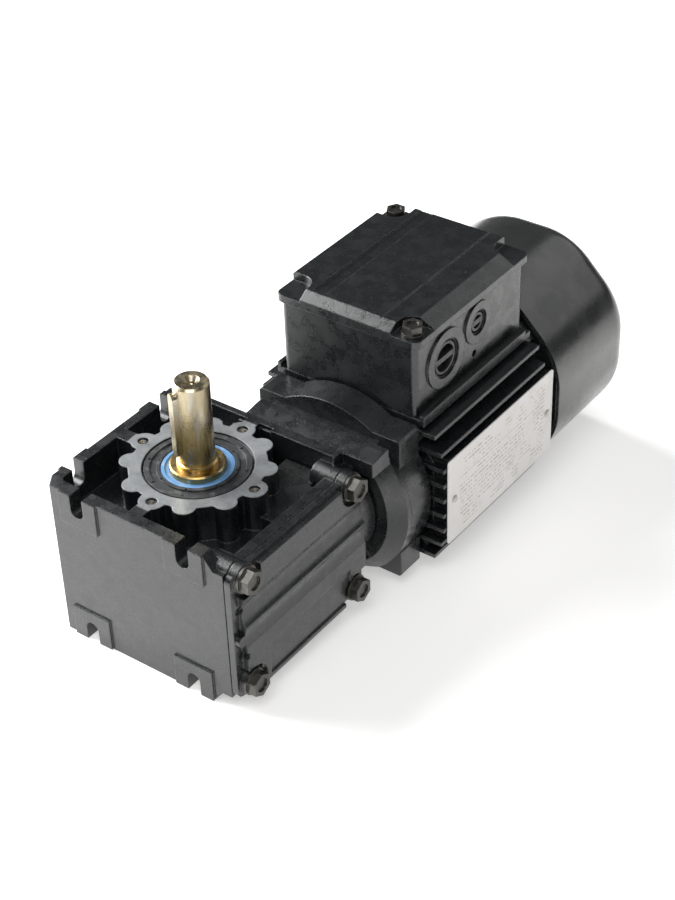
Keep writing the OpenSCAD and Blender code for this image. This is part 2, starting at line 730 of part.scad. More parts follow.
module stator_housing() color(paint) difference() {
    length = stator_y[1] - stator_y[0];
    seat_len = box_y[1] - box_y[0];
    union() {
        translate([motor_x, 0, motor_z]) along_y(stator_y[0] + 4, length - 4)
            rounded_octagon(stator_flats, 3);
        // Level fins on both sides, their tips on a rounded square
        for (i = [-4:4], side = [-1, 1]) {
            reach = fin_reach(i * fin_pitch);
            translate([side > 0 ? motor_x + 25 : motor_x - reach, stator_y[0] + 1.2,
                motor_z + i * fin_pitch - fin_t / 2]) cube([reach - 25, length - 9.2, fin_t]);
        }
        // Upright fins underneath
        for (i = [-2:2]) translate([motor_x + i * fin_pitch - fin_t / 2, stator_y[0] + 1.2,
            motor_z - 48]) cube([fin_t, length - 9.2, 12]);
        // Bars around the tie rods
        tie_rod_places() translate([-7, -5, stator_y[0] + 5]) cube([12, 10, length - 6]);
        // Pad behind the plate
        along_y(plate_y[0] + 2.5, plate_y[1] - plate_y[0] - 4)
            polygon([[62, plate_z[0] + 1], [plate_x - 0.4, plate_z[0] + 1],
                [plate_x - 0.4, plate_z[1] - 0.5], [62, plate_z[1] - 0.5]]);
        // Seat under the terminal box, with a lip along both sides
        translate([box_x[0], box_y[0], -6]) cube([box_x[1] - box_x[0], seat_len, 6 + box_floor]);
        translate([seat_x[0], box_y[0], -3]) cube([seat_x[1] - seat_x[0], seat_len, 3]);
        for (x = [seat_x[0], seat_x[1] - fin_t])
            translate([x, box_y[0], -1]) cube([fin_t, seat_len - 4, seat_lip_h + 1]);
    }
    // Room for the terminal box
    translate([box_x[0] - 0.6, stator_y[0], box_floor])
        cube([box_x[1] - box_x[0] + 1.2, box_y[1] + 0.4 - stator_y[0], 20]);
    on_motor_axis(stator_y[0] - 1) cylinder(d = stator_core_d, h = 100);
    on_motor_axis(stator_y[0] - 1) cylinder(d = spigot_d, h = 5.1);
    tie_rod_places() translate([0, 0, stator_y[0]]) cylinder(d = 5.4, h = 100);
    // Cable passage up into the terminal box
    translate([12, 110, -20]) cube([22, 26, 30]);
    box_screw_places() translate([0, 0, -10]) cylinder(d = 4.1, h = 12);
    rivet_places() translate([0, 0, -4]) cylinder(d = 2.5, h = 5);
}

module stator_core() color("#77797c") on_motor_axis(core_y[0]) difference() {
    cylinder(d = stator_core_d, h = core_y[1] - core_y[0]);
    translate([0, 0, -1]) cylinder(d = rotor_d + 2 * air_gap, h = core_y[1] - core_y[0] + 2);
}

module stator_windings() color("#a35f2c")
    for (start = [core_y[0] - winding_len, core_y[1]]) on_motor_axis(start) rotate_extrude()
        rounded_rect([28, 36.5], [0, winding_len], 2.5);

module rotor_shaft() color(steel) difference() {
    union() {
        on_motor_axis(46) chamfered_bar(drive_bearing[0], drive_bearing_y + drive_bearing[2] - 46 + 1);
        on_motor_axis(drive_bearing_y + drive_bearing[2]) cylinder(d = 20, h = 4);
        on_motor_axis(drive_bearing_y + drive_bearing[2] + 4)
            cylinder(d = 22, h = rear_bearing_y - 3 - drive_bearing_y - drive_bearing[2] - 4);
        on_motor_axis(rear_bearing_y - 3) cylinder(d = 17, h = 3);
        on_motor_axis(rear_bearing_y) cylinder(d = rear_bearing[0], h = rear_bearing[2] + 4);
        on_motor_axis(rear_bearing_y + 14) chamfered_bar(10, shaft_end_y - rear_bearing_y - 14);
    }
    on_motor_axis(45) cylinder(d = stub_d, h = 20);
}

module rotor_core() color("#8b8d90") on_motor_axis(core_y[0] - 4) difference() {
    union() {
        translate([0, 0, 4]) cylinder(d = rotor_d, h = core_y[1] - core_y[0]);
        cylinder(d = rotor_d - 3, h = core_y[1] - core_y[0] + 8);
    }
    translate([0, 0, -1]) cylinder(d = 22, h = 100);
    translate([0, 0, -1]) cylinder(d = 34, h = 5);
    translate([0, 0, core_y[1] - core_y[0] + 4]) cylinder(d = 34, h = 5);
}

module drive_bearing_outer() color(steel) on_motor_axis(drive_bearing_y) bearing_outer(drive_bearing);

module drive_bearing_inner() color(steel) on_motor_axis(drive_bearing_y) bearing_inner(drive_bearing);

module rear_bearing_outer() color(steel) on_motor_axis(rear_bearing_y) bearing_outer(rear_bearing);

module rear_bearing_inner() color(steel) on_motor_axis(rear_bearing_y) bearing_inner(rear_bearing);

module wave_washer() color(dark_steel)
    on_motor_axis(rear_bearing_y + rear_bearing[2]) ring(rear_bearing[1] - 0.4, 25, 0.6);

module rear_end_shield() color(paint) difference() {
    union() {
        translate([motor_x, 0, motor_z]) along_y(stator_y[1], 5) intersection() {
            octagon(cowl_flats - 2 * cowl_t - 0.2);
            circle(d = cowl_flats + cowl_round - 2 * cowl_t - 0.2);
        }
        on_motor_axis(rear_bearing_y + 4) cylinder(d = 56, h = stator_y[1] - rear_bearing_y);
        on_motor_axis(rear_bearing_y - 1) cylinder(d = 38, h = 10);
        on_motor_axis(stator_y[1] - 4) cylinder(d = stator_core_d, h = 5);
    }
    on_motor_axis(rear_bearing_y - 2) cylinder(d = rear_bearing[1], h = rear_bearing[2] + 2.7);
    on_motor_axis(rear_bearing_y) cylinder(d = 14, h = 40);
    tie_rod_places() translate([0, 0, stator_y[1] - 6]) cylinder(d = 5.4, h = 40);
    cowl_screw_places() translate([0, 0, -1]) cylinder(d = 4.1, h = 12);
}

module tie_rods() color(dark_steel) tie_rod_places() {
    translate([0, 0, shield_y[1] - 10]) cylinder(d = 5, h = stator_y[1] + 5 - shield_y[1] + 10);
    translate([0, 0, stator_y[1] + 5]) cylinder(d = 8, h = 4);
}

module cooling_fan() color("#2a2b2d") on_motor_axis(fan_y) difference() {
    union() {
        cylinder(d = 24, h = fan_b);
        cylinder(d = fan_d, h = 2.5);
        for (a = [0:45:315]) rotate(a) translate([10, -1.1, 1]) cube([fan_d / 2 - 11, 2.2, fan_b - 3]);
    }
    translate([0, 0, -1]) cylinder(d = 10, h = fan_b + 2);
}

module fan_clip() color(steel) on_motor_axis(fan_y + fan_b) ring(15, 10, 1);

// Puts children at the three cowl screws, with +Z pointing in towards the motor axis
module cowl_screw_places() {
    for (a = [0:90:180]) translate([motor_x, stator_y[1] + 2.5, motor_z]) rotate([0, a, 0])
        translate([0, 0, -cowl_flats / 2]) children();
}

// Eight-sided block along +Y with rounded corners and a rounded far edge
module cowl_form(flats, start, end, edge) {
    reach = flats / 2 + cowl_round / 2;
    intersection() {
        translate([motor_x, 0, motor_z]) along_y(start, end - start) octagon(flats);
        on_motor_axis(start) rotate_extrude($fn = 96) {
            square([reach, end - start - edge]);
            square([reach - edge, end - start]);
            translate([reach - edge, end - start - edge]) intersection() {
                circle(edge);
                square(edge);
            }
        }
    }
}

module fan_cowl() color(paint) difference() {
    cowl_form(cowl_flats, cowl_y, cowl_end, cowl_edge);
    cowl_form(cowl_flats - 2 * cowl_t, cowl_y - 1, cowl_end - cowl_t, cowl_edge - cowl_t);
    // Air slots in rings around the middle
    for (r = [14, 21, 28, 35]) on_motor_axis(cowl_end - 4) difference() {
        ring(2 * r + 4, 2 * r, 8);
        for (a = [0:60:120]) rotate(a) translate([-60, -2, -1]) cube([120, 4, 10]);
    }
    cowl_screw_places() translate([0, 0, -1]) cylinder(d = 4.4, h = 5);
}

module cowl_screws() color(dark_steel) cowl_screw_places() {
    translate([0, 0, -2.2]) difference() {
        cylinder(d1 = 6, d2 = 8, h = 2.2);
        translate([0, 0, -1]) cylinder(d = 3.4, h = 2.4, $fn = 6);
    }
    cylinder(d = 4, h = 9);
}

// ---------- Terminal box ----------

// Puts children at the two screws in the floor of the terminal box
module box_screw_places() {
    for (p = [[box_x[0] + 11, box_y[1] - 13], [box_x[1] - 11, box_y[0] + 13]])
        translate([p[0], p[1], box_floor + box_wall]) children();
}

// Puts children at the two opposite corners where the lid is screwed down
module lid_screw_places() {
    for (p = [[lid_x[0] + lid_screw_inset, lid_y[1] - lid_screw_inset],
            [lid_x[1] - lid_screw_inset, lid_y[0] + lid_screw_inset]])
        translate([p[0], p[1], 0]) children();
}

module terminal_box() color(paint) difference() {
    union() {
        translate([0, 0, box_floor]) linear_extrude(box_top - 0.8 - box_floor)
            rounded_rect(box_x, box_y, 3);
        // Raised collars around the two cable entries
        for (p = [large_plug, small_plug]) translate([box_x[1] - 1, p[0], p[1]])
            rotate([0, 90, 0]) cylinder(r = p[2], h = 2);
    }
    difference() {
        translate([0, 0, box_floor + box_wall]) linear_extrude(60)
            rounded_rect([box_x[0] + box_wall, box_x[1] - box_wall],
                [box_y[0] + box_wall, box_y[1] - box_wall], 2);
        lid_screw_places() cylinder(d = 10, h = 60);
    }
    for (p = [large_plug, small_plug]) translate([box_x[1] - 6, p[0], p[1]])
        rotate([0, 90, 0]) cylinder(r = p[3], h = 10);
    lid_screw_places() translate([0, 0, 20]) cylinder(d = 5, h = 40);
    // Drain hole below the small entry
    translate([box_x[1] - 2.5, 127, 8.5]) rotate([0, 90, 0]) cylinder(d = 3.6, h = 5);
    translate([14, 112, box_floor - 1]) cube([18, 22, 10]);
    box_screw_places() translate([0, 0, -6]) cylinder(d = 4.4, h = 8);
    earth_screw_place() translate([0, 0, -2]) cylinder(d = 4, h = 6);
}

module box_screws() color(dark_steel) box_screw_places() {
    cylinder(d = 7, h = 3);
    translate([0, 0, -9]) cylinder(d = 4, h = 10);
}

module box_gasket() color("#2b2b2b") translate([0, 0, box_top - 0.8]) linear_extrude(0.8) difference() {
    rounded_rect([box_x[0] + 0.4, box_x[1] - 0.4], [box_y[0] + 0.4, box_y[1] - 0.4], 3);
    difference() {
        rounded_rect([box_x[0] + box_wall, box_x[1] - box_wall],
            [box_y[0] + box_wall, box_y[1] - box_wall], 2);
        lid_screw_places() circle(d = 10);
    }
    lid_screw_places() circle(d = 5.6);
}

module terminal_box_lid() color(paint) difference() {
    intersection() {
        translate([0, 0, box_top]) linear_extrude(lid_edge) rounded_rect(lid_x, lid_y, 4);
        // Bevels along the front and right edges
        along_x(lid_x[0] - 1, lid_w + 2) polygon([[lid_y[0], box_top - 1], [lid_y[0], lid_top - 3],
            [lid_y[0] + 5, lid_top], [lid_y[1] - 1, lid_top], [lid_y[1], lid_top - 1],
            [lid_y[1], box_top - 1]]);
        along_y(lid_y[0] - 1, lid_len + 2) polygon([[lid_x[0], box_top - 1], [lid_x[0], lid_top - 1],
            [lid_x[0] + 1, lid_top], [lid_x[1] - 8, lid_top], [lid_x[1], lid_top - 4],
            [lid_x[1], box_top - 1]]);
    }
    // Shallow strip along the left and a fine line along the right
    translate([lid_x[0] + 17, lid_y[0] + 7, lid_top - 1]) cube([7, lid_len - 6, 3]);
    translate([lid_x[1] - 22, lid_y[0] - 1, lid_top - 0.4]) cube([0.8, lid_len + 2, 3]);
    // Corner recesses
    for (x = lid_x, y = lid_y) {
        in_x = x < motor_x ? lid_recess_in : -lid_recess_in;
        in_y = y < lid_y[1] ? lid_recess_in : -lid_recess_in;
        translate([x + in_x, y + in_y, lid_top - lid_recess_h]) {
            cylinder(r = lid_recess_r, h = 10);
            translate([in_x > 0 ? -10 : 0, -lid_recess_r, 0]) cube([10, 2 * lid_recess_r, 10]);
            translate([-lid_recess_r, in_y > 0 ? -10 : 0, 0]) cube([2 * lid_recess_r, 10, 10]);
        }
    }
    // Hollow underside
    translate([0, 0, box_top - 1]) linear_extrude(3.5) difference() {
        rounded_rect([box_x[0] + 5, box_x[1] - 5], [box_y[0] + 5, box_y[1] - 5], 2);
        for (x = lid_x, y = lid_y) translate([x, y]) circle(21);
    }
    lid_screw_places() translate([0, 0, box_top - 1]) cylinder(d = 5.6, h = 20);
}

module lid_screws() color(dark_steel) lid_screw_places() translate([0, 0, lid_top - lid_recess_h])
    hex_bolt(5, 17);

module terminal_block() color("#3a3228") translate([23, 124, box_floor + box_wall]) difference() {
    union() {
        translate([-18, -24, 0]) cube([36, 10, 8]);
        translate([-18, 14, 0]) cube([36, 10, 8]);
        translate([-21, -24, 8]) cube([42, 48, 6]);
    }
    for (x = [-13, 0, 13], y = [-8, 8]) translate([x, y, 4]) cylinder(d = 4, h = 12);
}

module terminal_studs() color("#c9a24d") translate([23, 124, box_floor + box_wall + 6])
    for (x = [-13, 0, 13], y = [-8, 8]) translate([x, y, 0]) {
        cylinder(d = 4, h = 18);
        translate([0, 0, 8]) cylinder(d = 7 / cos(30), h = 3.2, $fn = 6);
    }

module earth_screw_place() {
    translate([box_x[0] + 12, box_y[0] + 12, box_floor + box_wall]) children();
}

module earth_screw() color("#c9a24d") earth_screw_place() {
    cylinder(d = 8, h = 3.2);
    translate([0, 0, -1.8]) cylinder(d = 4, h = 3);
}

// Screw plug for a cable entry: thread from x = 0, bar across the face
module cable_plug(r) {
    rotate([0, 90, 0]) difference() {
        cylinder(r = r, h = 5);
        translate([0, 0, 3.5]) ring(2 * r - 1.6, 2 * r - 3.4, 4);
        for (side = [-1, 1]) intersection() {
            translate([0, 0, 2]) cylinder(r = r - 3, h = 4);
            translate([side > 0 ? 1.4 : -r - 1.4, -r, 2]) cube([r, 2 * r, 4]);
        }
    }
}

module cable_plug_large() color("#202123")
    translate([box_x[1] - 5, large_plug[0], large_plug[1]]) cable_plug(large_plug[3]);

module cable_plug_small() color("#202123")
    translate([box_x[1] - 5, small_plug[0], small_plug[1]]) cable_plug(small_plug[3]);

module nameplate() color("#d9d7d0") difference() {
    along_x(plate_x - 0.4, 0.6) rounded_rect(plate_y, plate_z, 1.5);
    rivet_places() translate([0, 0, -3]) cylinder(d = 2.4, h = 6);
}

// Puts children at the two rivets, with +Z pointing out of the plate
module rivet_places() {
    for (p = [[plate_y[0] + 5, -42], [plate_y[1] - 5, -42]])
        translate([plate_x + 0.2, p[0], p[1]]) rotate([0, 90, 0]) children();
}

module nameplate_rivets() color(steel) rivet_places() {
    cylinder(d1 = 4, d2 = 3, h = 0.8);
    translate([0, 0, -2.6]) cylinder(d = 2.4, h = 2.8);
}

gear_housing();
gear_cover();
cover_gasket();
cover_bolts();
output_seal();
seal_lip();
output_shaft();
shaft_key();
spacer_sleeve();
worm_wheel();
wheel_key();
upper_bearing_outer();
upper_bearing_inner();
lower_bearing_outer();
lower_bearing_inner();
bearing_circlip();
closing_cap();
worm();
input_seal();
flange_screws();
drive_end_shield();
stator_housing();
stator_core();
stator_windings();
rotor_shaft();
rotor_core();
drive_bearing_outer();
drive_bearing_inner();
rear_bearing_outer();
rear_bearing_inner();
wave_washer();
rear_end_shield();
tie_rods();
cooling_fan();
fan_clip();
fan_cowl();
cowl_screws();
terminal_box();
box_gasket();
box_screws();
terminal_box_lid();
lid_screws();
terminal_block();
terminal_studs();
earth_screw();
cable_plug_large();
cable_plug_small();
nameplate();
nameplate_rivets();
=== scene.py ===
import json
import math

import bmesh
import bpy
from mathutils import Matrix, Vector


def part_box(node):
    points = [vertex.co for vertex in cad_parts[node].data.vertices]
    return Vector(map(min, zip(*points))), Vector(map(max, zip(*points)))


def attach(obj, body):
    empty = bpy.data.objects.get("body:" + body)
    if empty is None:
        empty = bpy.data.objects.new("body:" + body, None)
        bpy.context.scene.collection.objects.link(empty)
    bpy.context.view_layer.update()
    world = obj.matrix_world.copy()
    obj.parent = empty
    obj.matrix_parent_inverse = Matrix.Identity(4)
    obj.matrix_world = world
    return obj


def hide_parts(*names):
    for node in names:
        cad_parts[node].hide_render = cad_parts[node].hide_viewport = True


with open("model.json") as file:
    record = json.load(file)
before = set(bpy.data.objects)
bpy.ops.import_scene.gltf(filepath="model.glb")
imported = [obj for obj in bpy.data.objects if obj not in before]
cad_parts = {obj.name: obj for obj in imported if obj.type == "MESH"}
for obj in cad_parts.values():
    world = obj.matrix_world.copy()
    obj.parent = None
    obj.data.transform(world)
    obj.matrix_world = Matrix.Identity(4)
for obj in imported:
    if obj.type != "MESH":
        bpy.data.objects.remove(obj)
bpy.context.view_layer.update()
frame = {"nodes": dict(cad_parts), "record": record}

MM = 0.001
MOTOR_X, MOTOR_Z = 0.023, -0.040
FLANGE_HOLE_REACH = 0.031
FLANGE_HOLES = [(FLANGE_HOLE_REACH * math.cos(turn), FLANGE_HOLE_REACH * math.sin(turn))
                for turn in (0, math.pi / 2, math.pi, 3 * math.pi / 2)]

# ---------- Camera, floor and light ----------

CAMERA_PLACE = Vector((0.4570, -0.5002, 0.5034))
CAMERA_AZIMUTH = math.radians(37.32)
CAMERA_PITCH = math.radians(36.45)
CAMERA_ROLL = math.radians(-2.12)
CAMERA_LENS = 78.3


def add_camera():
    """Camera at the height, turn and small roll of the reference view."""
    data = bpy.data.cameras.new("camera")
    data.lens = CAMERA_LENS
    data.sensor_width = 36.0
    camera = bpy.data.objects.new("camera", data)
    turn = Matrix.Rotation(CAMERA_AZIMUTH, 4, "Z") @ Matrix.Rotation(math.pi / 2 - CAMERA_PITCH, 4, "X")
    camera.matrix_world = Matrix.Translation(CAMERA_PLACE) @ turn @ Matrix.Rotation(CAMERA_ROLL, 4, "Z")
    bpy.context.scene.collection.objects.link(camera)
    bpy.context.scene.camera = camera


def add_floor():
    """Pale table top, tilted as the object rests: on its front base edge and the back of its cowl."""
    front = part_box("gear_housing")[0]
    cowl_low, cowl_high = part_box("fan_cowl")
    cowl_bend = 0.007
    rise = cowl_low.z - front.z
    run = cowl_high.y - cowl_bend - front.y
    half = 4.0
    gap = 0.0002
    mesh = bpy.data.meshes.new("floor")
    corners = [(-half, -half, 0), (half, -half, 0), (half, half, 0), (-half, half, 0)]
    mesh.from_pydata(corners, [], [(0, 1, 2, 3)])
    floor = bpy.data.objects.new("floor", mesh)
    floor.rotation_euler = (math.atan2(rise, run), 0, 0)
    floor.location = (0, front.y, front.z - gap)
    bpy.context.scene.collection.objects.link(floor)
    material = bpy.data.materials.new("pale_floor")
    material.use_nodes = True
    shader = material.node_tree.nodes["Principled BSDF"]
    shader.inputs["Base Color"].default_value = (0.88, 0.875, 0.865, 1)
    shader.inputs["Roughness"].default_value = 0.75
    shader.inputs["Emission Color"].default_value = (1.0, 0.995, 0.985, 1)
    shader.inputs["Emission Strength"].default_value = 0.46
    mesh.materials.append(material)


def add_area(name, place, target, size, power):
    """White soft box aimed at a point."""
    data = bpy.data.lights.new(name, "AREA")
    data.shape = "RECTANGLE"
    data.size, data.size_y = size
    data.energy = power
    light = bpy.data.objects.new(name, data)
    light.location = place
    light.rotation_euler = (Vector(target) - Vector(place)).to_track_quat("-Z", "Y").to_euler()
    bpy.context.scene.collection.objects.link(light)


def add_lights():
    """Dim even surround, a large soft box on the left, a weaker one above the front and a faint one behind."""
    world = bpy.data.worlds.new("surround")
    bpy.context.scene.world = world
    world.use_nodes = True
    background = world.node_tree.nodes["Background"]
    background.inputs["Color"].default_value = (0.97, 0.985, 1.0, 1)
    background.inputs["Strength"].default_value = 0.09
    add_area("key", (-1.35, -0.1, 0.85), (0, 0.05, 0), (1.4, 1.4), 70)
    add_area("top", (0.5, -0.9, 1.5), (0.05, -0.1, -0.05), (1.2, 0.9), 15)
    add_area("back", (0.55, 1.5, 1.0), (0, 0.2, 0), (1.7, 1.0), 4.8)


# ---------- Material building blocks ----------

class Surface:
    """One procedural material on object coordinates, counted in millimetres."""

    def __init__(self, name, rough, metal=0.0, **constants):
        self.material = bpy.data.materials.new(name)
        self.material.use_nodes = True
        self.nodes = self.material.node_tree.nodes
        self.links = self.material.node_tree.links
        self.shader = self.nodes["Principled BSDF"]
        self.shader.inputs["Metallic"].default_value = metal
        self.shader.inputs["Roughness"].default_value = rough
        for key, value in constants.items():
            self.shader.inputs[key.replace("_", " ")].default_value = value
        coordinates = self.nodes.new("ShaderNodeTexCoord")
        self.place = self.scaled(coordinates.outputs["Object"], (1000, 1000, 1000))
        self.colour = None
        self.normal = None

    def scaled(self, vector, scale):
        mapping = self.nodes.new("ShaderNodeMapping")
        mapping.inputs["Scale"].default_value = scale
        self.links.new(vector, mapping.inputs["Vector"])
        return mapping.outputs["Vector"]

    def noise(self, size, detail=4.0, stretch=(1, 1, 1), shift=0.0):
        """Noise from 0 to 1 whose blobs are about size millimetres wide."""
        made = self.nodes.new("ShaderNodeTexNoise")
        made.noise_dimensions = "4D"
        made.inputs["W"].default_value = shift
        made.inputs["Scale"].default_value = 1.0 / size
        made.inputs["Detail"].default_value = detail
        made.inputs["Roughness"].default_value = 0.55
        vector = self.place if stretch == (1, 1, 1) else self.scaled(self.place, stretch)
        self.links.new(vector, made.inputs["Vector"])
        return made.outputs["Fac"]

    def flat_noise(self, first, second, detail):
        """Plane noise at the place that two sockets give."""
        made = self.nodes.new("ShaderNodeTexNoise")
        made.noise_dimensions = "2D"
        made.inputs["Scale"].default_value = 1.0
        made.inputs["Detail"].default_value = detail
        spot = self.nodes.new("ShaderNodeCombineXYZ")
        self.links.new(first, spot.inputs[0])
        self.links.new(second, spot.inputs[1])
        self.links.new(spot.outputs[0], made.inputs["Vector"])
        return made.outputs["Fac"]

    def math(self, kind, a, b=None):
        """One arithmetic step on numbers or sockets."""
        made = self.nodes.new("ShaderNodeMath")
        made.operation = kind
        for index, value in enumerate((a, b)):
            if value is None:
                continue
            if isinstance(value, (int, float)):
                made.inputs[index].default_value = value
            else:
                self.links.new(value, made.inputs[index])
        return made.outputs[0]

    def span(self, value, low, high, to_low=0.0, to_high=1.0):
        """Maps low..high onto to_low..to_high, clamped."""
        made = self.nodes.new("ShaderNodeMapRange")
        made.interpolation_type = "SMOOTHSTEP"
        self.links.new(value, made.inputs["Value"])
        for key, number in (("From Min", low), ("From Max", high), ("To Min", to_low), ("To Max", to_high)):
            made.inputs[key].default_value = number
        return made.outputs["Result"]

    def parts(self):
        """X, Y and Z of the place in millimetres."""
        made = self.nodes.new("ShaderNodeSeparateXYZ")
        self.links.new(self.place, made.inputs["Vector"])
        return made.outputs

    def blend(self, factor, first, second):
        """Mixes two colours, each a triple or a socket, and keeps the result as the base colour."""
        made = self.nodes.new("ShaderNodeMix")
        made.data_type = "RGBA"
        self.links.new(factor, made.inputs[0])
        for index, value in ((6, first), (7, second)):
            if isinstance(value, tuple):
                made.inputs[index].default_value = (*value, 1)
            else:
                self.links.new(value, made.inputs[index])
        self.colour = made.outputs[2]

    def over(self, factor, colour):
        """Lays a colour over what is there."""
        self.blend(factor, self.colour, colour)

    def bump(self, height, distance_mm, strength=1.0):
        """Adds relief on top of the relief already there."""
        made = self.nodes.new("ShaderNodeBump")
        made.inputs["Strength"].default_value = strength
        made.inputs["Distance"].default_value = distance_mm * MM
        self.links.new(height, made.inputs["Height"])
        if self.normal is not None:
            self.links.new(self.normal, made.inputs["Normal"])
        self.normal = made.outputs["Normal"]

    def soften(self, radius_mm):
        """Rounds the shading across edges and returns a mask of them."""
        bevel = self.nodes.new("ShaderNodeBevel")
        bevel.samples = 4
        bevel.inputs["Radius"].default_value = radius_mm * MM
        flat = self.nodes.new("ShaderNodeNewGeometry")
        dot = self.nodes.new("ShaderNodeVectorMath")
        dot.operation = "DOT_PRODUCT"
        self.links.new(bevel.outputs["Normal"], dot.inputs[0])
        self.links.new(flat.outputs["Normal"], dot.inputs[1])
        self.normal = bevel.outputs["Normal"]
        return self.span(dot.outputs["Value"], 0.97, 0.86)

    def rough(self, factor, low, high):
        self.links.new(self.span(factor, 0.3, 0.7, low, high), self.shader.inputs["Roughness"])

    def done(self):
        if self.colour is not None:
            self.links.new(self.colour, self.shader.inputs["Base Color"])
        if self.normal is not None:
            self.links.new(self.normal, self.shader.inputs["Normal"])
        return self.material


# ---------- Materials ----------

def cast_paint():
    """Black enamel on rough castings: grain, dull patches, rubbed edges lightened partly as a painted highlight,
    a lighter machined flange.
    """
    s = Surface("cast_paint", 0.34, IOR=1.62, Coat_Weight=0.2, Coat_Roughness=0.18)
    edge = s.soften(0.8)
    s.blend(s.noise(14, 5), (0.0055, 0.0070, 0.0080), (0.0100, 0.0118, 0.0128))
    x, y, z = s.parts()
    flange_reach = 36.4
    reach = s.math("SQRT", s.math("ADD", s.math("MULTIPLY", x, x), s.math("MULTIPLY", y, y)))
    face = s.math("MULTIPLY", s.span(reach, flange_reach + 1.0, flange_reach), s.span(z, -0.4, -0.1))
    face = s.math("MULTIPLY", face, s.span(s.noise(9, 4, shift=3), 0.25, 0.62, 0.62, 1.0))
    s.over(face, (0.225, 0.238, 0.245))
    dust = s.math("MULTIPLY", s.span(s.noise(26, 6, shift=7), 0.50, 0.72), 0.30)
    s.over(dust, (0.022, 0.025, 0.025))
    # Edges lightened toward grey: partly rubbed paint, partly a painted highlight where rounded edges catch the
    # light.
    wear_and_highlight = s.span(s.noise(3, 3, shift=1), 0.35, 0.65, 0.05, 0.42)
    s.over(s.math("MULTIPLY", edge, wear_and_highlight), (0.16, 0.165, 0.165))
    s.over(s.span(s.noise(1.3, 2, shift=11), 0.745, 0.80, 0.0, 0.7), (0.20, 0.20, 0.19))
    s.rough(s.noise(6, 4, shift=5), 0.20, 0.38)
    s.bump(s.noise(9, 3, shift=2), 0.30, 0.35)
    s.bump(s.noise(1.1, 4), 0.085, 0.8)
    s.bump(s.span(s.noise(0.55, 2, shift=4), 0.58, 0.72), 0.06, 0.6)
    return s.done()


def sheet_paint():
    """The same enamel on smooth pressed sheet, with faint drawing marks, fine scratches and a painted highlight
    along edges.
    """
    s = Surface("sheet_paint", 0.32, IOR=1.7, Coat_Weight=0.3, Coat_Roughness=0.2)
    edge = s.soften(0.6)
    s.blend(s.noise(30, 5), (0.0130, 0.0150, 0.0140), (0.0220, 0.0240, 0.0220))
    s.over(s.math("MULTIPLY", s.span(s.noise(40, 6, shift=7), 0.48, 0.75), 0.3), (0.040, 0.042, 0.039))
    # Painted highlight: edges lightened toward grey where rounded sheet edges catch the light.
    s.over(s.math("MULTIPLY", edge, 0.18), (0.14, 0.14, 0.14))
    s.over(s.span(s.noise(0.5, 3, (1, 0.04, 1), shift=9), 0.70, 0.76, 0.0, 0.22), (0.12, 0.12, 0.12))
    s.rough(s.noise(12, 5, shift=5), 0.20, 0.34)
    s.bump(s.noise(22, 3, shift=2), 0.35, 0.3)
    s.bump(s.noise(0.9, 3), 0.035, 0.6)
    return s.done()


def shaft_steel():
    """Turned steel, oil-browned low down and in streaks."""
    s = Surface("shaft_steel", 0.3, 1.0)
    s.soften(0.3)
    s.blend(s.noise(5, 5, (1, 1, 0.22)), (0.47, 0.43, 0.33), (0.68, 0.65, 0.56))
    z = s.parts()[2]
    low = s.span(z, 42, 12, 0.55, 1.0)
    streak = s.span(s.noise(3.2, 5, (1, 1, 0.16), shift=6), 0.30, 0.56)
    s.over(s.math("MULTIPLY", s.math("MULTIPLY", low, streak), 0.94), (0.37, 0.27, 0.10))
    collar = s.math("MULTIPLY", s.span(z, 7.5, 3.0), s.span(s.noise(4, 4, shift=8), 0.36, 0.58))
    s.over(s.math("MULTIPLY", collar, 0.75), (0.52, 0.34, 0.11))
    s.over(s.span(s.noise(1.2, 3, shift=12), 0.69, 0.75, 0.0, 0.8), (0.13, 0.09, 0.05))
    s.rough(s.noise(4, 4, (1, 1, 0.3), shift=3), 0.20, 0.40)
    s.bump(s.noise(0.32, 2, (0.05, 0.05, 1)), 0.022, 0.7)
    s.bump(s.noise(2.5, 4, shift=4), 0.05, 0.4)
    return s.done()


def metal(name, dark, light, rough_low, rough_high, grain=1.0, depth=0.03, spots=(0.08, 0.07, 0.06), metallic=1.0,
          stretch=(1, 1, 1)):
    """Bare or plated metal with stains, spots, tooling grain and a painted highlight along edges."""
    s = Surface(name, rough_low, metallic)
    edge = s.soften(0.25)
    s.blend(s.noise(4, 5, shift=1), dark, light)
    # Painted highlight: edges brightened above the light tone where rounded edges catch the light.
    s.over(s.math("MULTIPLY", edge, 0.35), tuple(min(1.0, c * 1.5 + 0.05) for c in light))
    s.over(s.span(s.noise(1.6, 4, shift=6), 0.66, 0.74, 0.0, 0.8), spots)
    s.rough(s.noise(2.4, 4, shift=3), rough_low, rough_high)
    s.bump(s.noise(grain, 3, stretch, shift=2), depth, 0.7)
    return s.done()


def soft(name, dark, light, rough_low, rough_high, grain=1.2, depth=0.05, dust=(0.22, 0.21, 0.19), amount=0.3,
         **constants):
    """Rubber, paper or plastic with mould grain, dust and a painted highlight along edges."""
    s = Surface(name, rough_low, 0.0, **constants)
    edge = s.soften(0.3)
    s.blend(s.noise(7, 5, shift=1), dark, light)
    # Painted highlight: edges lightened above the light tone where rounded edges catch the light.
    s.over(s.math("MULTIPLY", edge, 0.2), tuple(min(1.0, c * 1.8 + 0.03) for c in light))
    s.over(s.math("MULTIPLY", s.span(s.noise(5, 6, shift=4), 0.50, 0.72), amount), dust)
    s.rough(s.noise(3, 4, shift=3), rough_low, rough_high)
    s.bump(s.noise(grain, 3, shift=2), depth, 0.7)
    return s.done()


